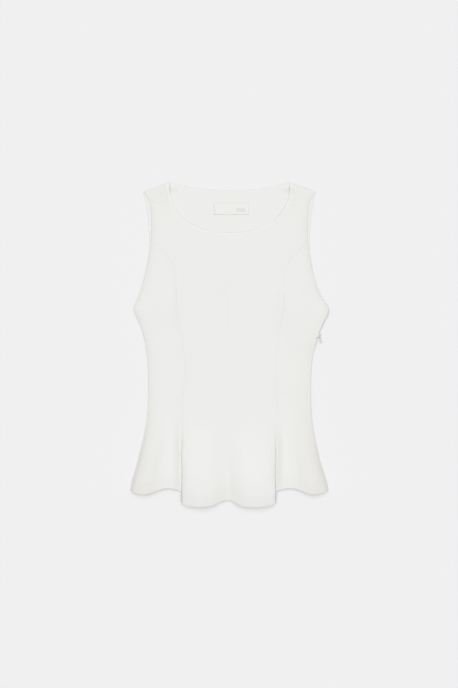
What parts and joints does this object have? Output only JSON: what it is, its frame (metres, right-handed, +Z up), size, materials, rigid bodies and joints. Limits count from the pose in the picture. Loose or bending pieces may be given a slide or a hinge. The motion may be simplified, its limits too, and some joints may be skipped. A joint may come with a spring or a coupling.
{
  "type": "peplum top",
  "caption": "Sleeveless scoop-neck top with princess seams, a side zip and a flared hem in soft folds, laid flat face up.",
  "frame": {"origin": "on the surface the top lies on, under the middle of its bounding box", "axes": "+X to the viewer's right across the top, +Y along the body towards the neck, +Z up from the surface through the back and then the front"},
  "size_m": [0.3968, 0.648, 0.0186],
  "materials": {
    "crepe": "ivory matt crepe",
    "label": "plain woven satin",
    "zip_tape": "ivory knitted tape",
    "zip_metal": "nickel"
  },
  "bodies": {
    "garment": {"back": "crepe", "front_middle": "crepe", "front_side_left": "crepe", "front_side_right": "crepe", "neck_label": "label", "zip_tape_back": "zip_tape", "zip_tape_front": "zip_tape", "zip_slider": "zip_metal"},
    "pull": {"zip_pull": "zip_metal"}
  },
  "joints": [
    {"name": "zip_pull_swing", "type": "hinge", "parent": "garment", "child": "pull", "pos_m": [0.17951, 0.01605, 0.0039], "axis": [0, 0, 1], "range_deg": [-26, 96]}
  ]
}
